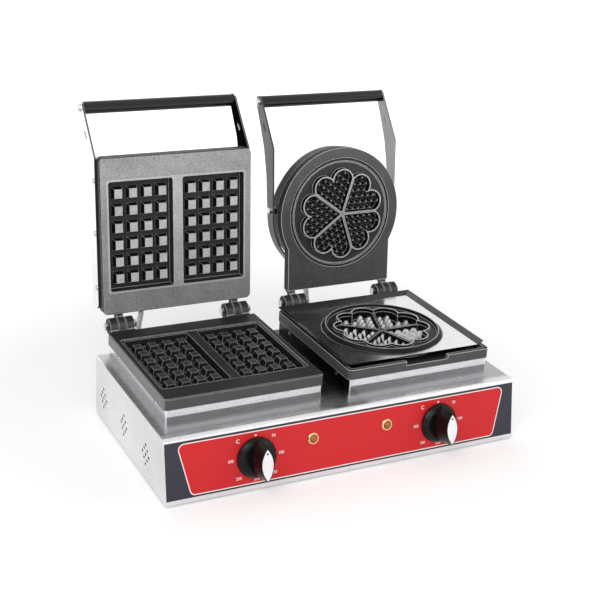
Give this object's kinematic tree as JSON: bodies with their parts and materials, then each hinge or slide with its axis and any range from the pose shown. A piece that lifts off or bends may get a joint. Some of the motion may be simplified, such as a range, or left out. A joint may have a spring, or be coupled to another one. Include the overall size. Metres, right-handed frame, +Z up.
{
  "type": "twin waffle baker",
  "caption": "Electric countertop waffle baker with two hinged cast-iron irons side by side, one with a square grid and one with a ring of hearts, on a low steel housing with rotary thermostats.",
  "frame": {"origin": "on the bench, under the middle of the whole baker with both lids open", "axes": "+Z up, +X to the right of someone facing the controls, the control panel faces -Y"},
  "size_m": [0.56, 0.4692, 0.4555],
  "materials": {
    "stainless": "brushed, bright",
    "polished_steel": "polished sheet",
    "galvanised": "dull",
    "fasteners": "zinc plated",
    "cast_iron": "seasoned casting",
    "heater_sheath": "heat stained",
    "drum_enamel": "black, satin",
    "label_film": "dark grey film",
    "fascia_red": "red film",
    "lamp_brass": "bright",
    "lamp_amber": "clear amber",
    "knob_plastic": "black phenolic",
    "grip_plastic": "black phenolic",
    "rubber": "black",
    "gland_plastic": "black nylon",
    "terminal_plastic": "white",
    "mineral_wool": "felted",
    "conduit_sleeve": "braided metal hose"
  },
  "bodies": {
    "base": {"housing_shell": "stainless", "left_side_panel": "stainless", "right_side_panel": "stainless", "bottom_cover": "galvanised", "rubber_feet": "rubber", "control_label": "label_film", "red_fascia": "fascia_red", "lamp_bezels": "lamp_brass", "lamp_lenses": "lamp_amber", "left_thermostat": "galvanised", "right_thermostat": "galvanised", "terminal_block": "terminal_plastic", "mains_gland": "gland_plastic", "conduit_glands": "polished_steel", "left_skirt": "stainless", "right_skirt": "stainless", "skirt_screws": "fasteners", "left_lower_plate": "cast_iron", "left_lower_pegs": "cast_iron", "right_lower_plate": "cast_iron", "right_lower_pegs": "cast_iron", "drip_tray": "polished_steel", "left_lower_hinges": "cast_iron", "right_lower_hinges": "cast_iron", "left_hinge_bolts": "fasteners", "right_hinge_bolts": "fasteners", "left_lower_heater": "heater_sheath", "right_lower_heater": "heater_sheath", "left_conduit": "conduit_sleeve", "right_conduit": "conduit_sleeve"},
    "left_lid": {"left_upper_plate": "cast_iron", "left_upper_pegs": "cast_iron", "left_lid_casing": "stainless", "left_lid_arms": "polished_steel", "left_arm_screws": "fasteners", "left_grip": "grip_plastic", "left_grip_bolts": "fasteners", "left_upper_hinges": "cast_iron", "left_upper_heater": "heater_sheath", "left_lid_insulation": "mineral_wool", "left_lid_gland": "polished_steel"},
    "right_lid": {"right_upper_plate": "cast_iron", "right_upper_pegs": "cast_iron", "right_lid_drum": "drum_enamel", "right_lid_cover": "stainless", "right_yoke": "polished_steel", "right_yoke_bolts": "fasteners", "right_grip": "grip_plastic", "right_grip_bolts": "fasteners", "right_upper_hinges": "cast_iron", "right_upper_heater": "heater_sheath", "right_lid_insulation": "mineral_wool", "right_lid_gland": "polished_steel"},
    "left_knob": {"left_knob": "knob_plastic", "left_knob_insert": "fasteners", "left_knob_shaft": "fasteners"},
    "right_knob": {"right_knob": "knob_plastic", "right_knob_insert": "fasteners", "right_knob_shaft": "fasteners"}
  },
  "joints": [
    {"name": "left_lid_hinge", "type": "hinge", "parent": "base", "child": "left_lid", "pos_m": [-0.141, 0.11756, 0.1315], "axis": [1, 0, 0], "range_deg": [0, 95], "deforming": ["left_conduit"]},
    {"name": "right_lid_hinge", "type": "hinge", "parent": "base", "child": "right_lid", "pos_m": [0.1425, 0.11756, 0.1315], "axis": [1, 0, 0], "range_deg": [0, 95], "deforming": ["right_conduit"]},
    {"name": "left_knob_turn", "type": "hinge", "parent": "base", "child": "left_knob", "pos_m": [-0.147, -0.19325, 0.04902], "axis": [0, 0.987, -0.1609], "range_deg": [0, 270]},
    {"name": "right_knob_turn", "type": "hinge", "parent": "base", "child": "right_knob", "pos_m": [0.147, -0.19325, 0.04902], "axis": [0, 0.987, -0.1609], "range_deg": [0, 270]}
  ]
}
